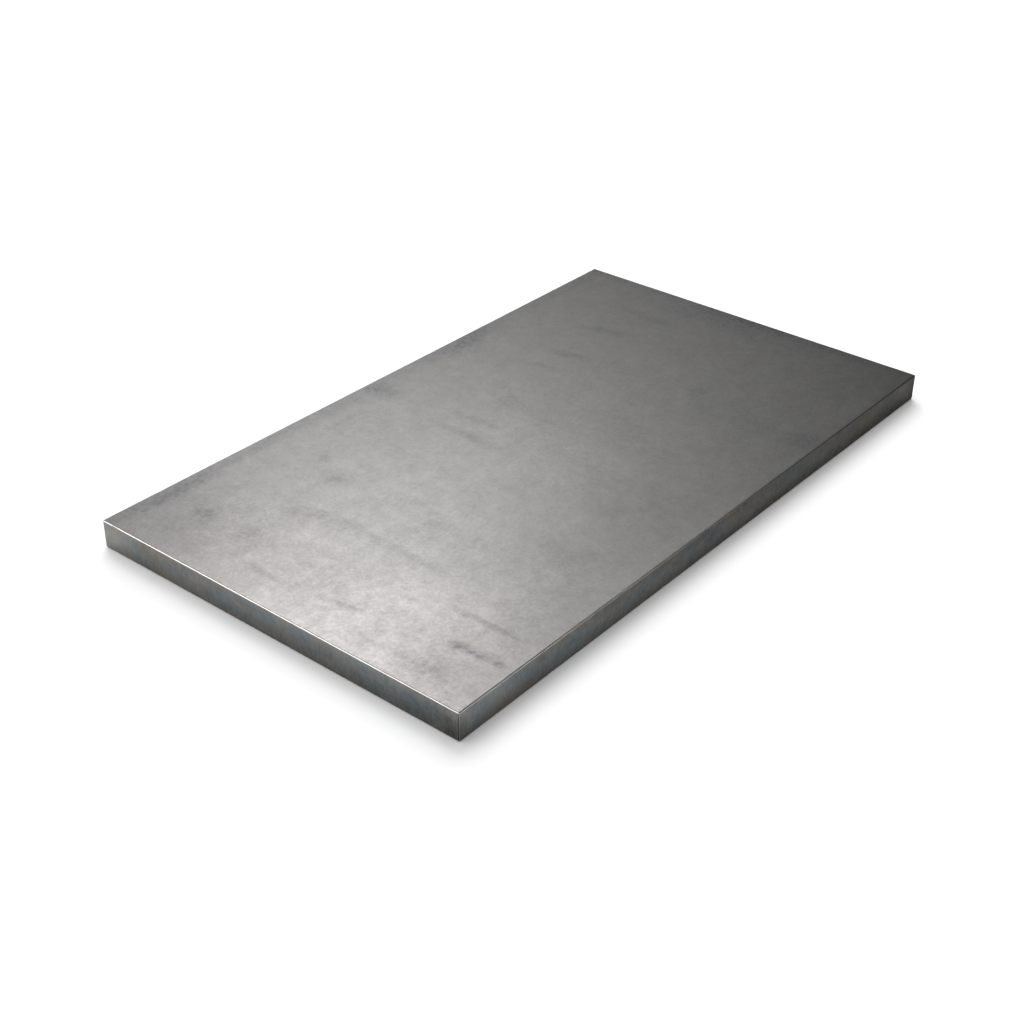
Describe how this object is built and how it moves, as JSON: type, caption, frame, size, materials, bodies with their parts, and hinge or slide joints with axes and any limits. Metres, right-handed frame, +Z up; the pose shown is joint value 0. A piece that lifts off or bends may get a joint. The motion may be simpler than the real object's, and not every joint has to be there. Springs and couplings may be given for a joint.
{
  "type": "steel plate",
  "caption": "Flat rectangular plate of mill-finish steel with square-cut sides and lightly broken edges, raw stock for machining or welding.",
  "frame": {"origin": "centre of the underside, on the level surface that the plate lies on", "axes": "+X along the length, +Y across the width, +Z up through the thickness"},
  "size_m": [0.52, 0.3, 0.02],
  "materials": {
    "steel": "satin"
  },
  "bodies": {
    "root": {"plate": "steel"}
  },
  "joints": []
}
